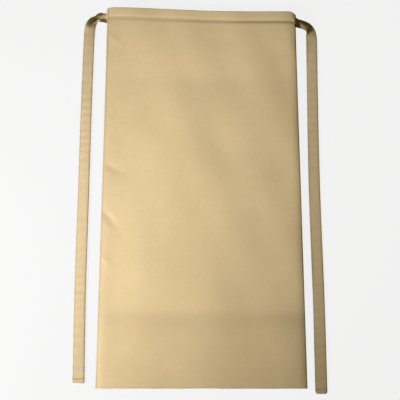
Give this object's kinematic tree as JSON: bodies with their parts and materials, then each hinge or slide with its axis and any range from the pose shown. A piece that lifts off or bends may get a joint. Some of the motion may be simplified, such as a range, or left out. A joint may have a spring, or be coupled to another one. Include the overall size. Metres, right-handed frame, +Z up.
{
  "type": "folded waist apron",
  "caption": "Long waist apron of plain khaki twill with a folded waistband and flat ties, laid flat with its sides pleated behind the front.",
  "frame": {"origin": "middle of the folded apron, on the surface that it lies on", "axes": "+Y towards the waistband, +X to the right as seen from above, +Z up out of the surface, the way the front faces"},
  "size_m": [0.4958, 0.8164, 0.0148],
  "materials": {
    "panel_twill": "matt cotton twill",
    "band_twill": "matt cotton twill, folded and stitched",
    "tie_twill": "matt cotton twill tape with stitched edges"
  },
  "bodies": {
    "root": {"apron_panel": "panel_twill", "waistband": "band_twill", "tie_left": "tie_twill", "tie_right": "tie_twill"}
  },
  "joints": []
}
